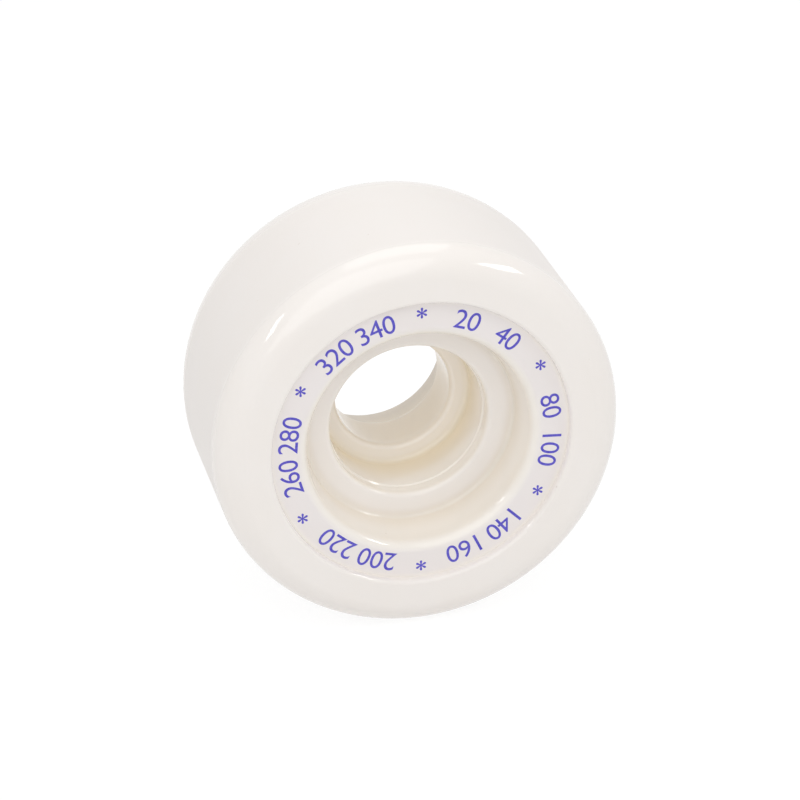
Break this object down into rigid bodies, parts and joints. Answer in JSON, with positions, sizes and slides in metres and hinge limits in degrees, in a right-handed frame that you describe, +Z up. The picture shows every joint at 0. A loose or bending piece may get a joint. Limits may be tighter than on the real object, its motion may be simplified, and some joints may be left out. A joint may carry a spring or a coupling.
{
  "type": "roller skate wheel",
  "caption": "Bare quad roller skate wheel: a wide round-shouldered tyre moulded round a hub core with a nut recess and ball bearing seats.",
  "frame": {"origin": "centre of the wheel's box, on its axis", "axes": "+Y along the axis it turns about, away from the printed front face; +Z up with the wheel standing on its tread"},
  "size_m": [0.057, 0.0328, 0.057],
  "materials": {
    "tyre_urethane": "hard cast polyurethane, ivory white, glossy and slightly translucent",
    "hub_plastic": "moulded plastic, ivory white, glossy, with violet-blue printed marks on the front ring"
  },
  "bodies": {
    "root": {"tyre": "tyre_urethane", "hub_core": "hub_plastic"}
  },
  "joints": []
}
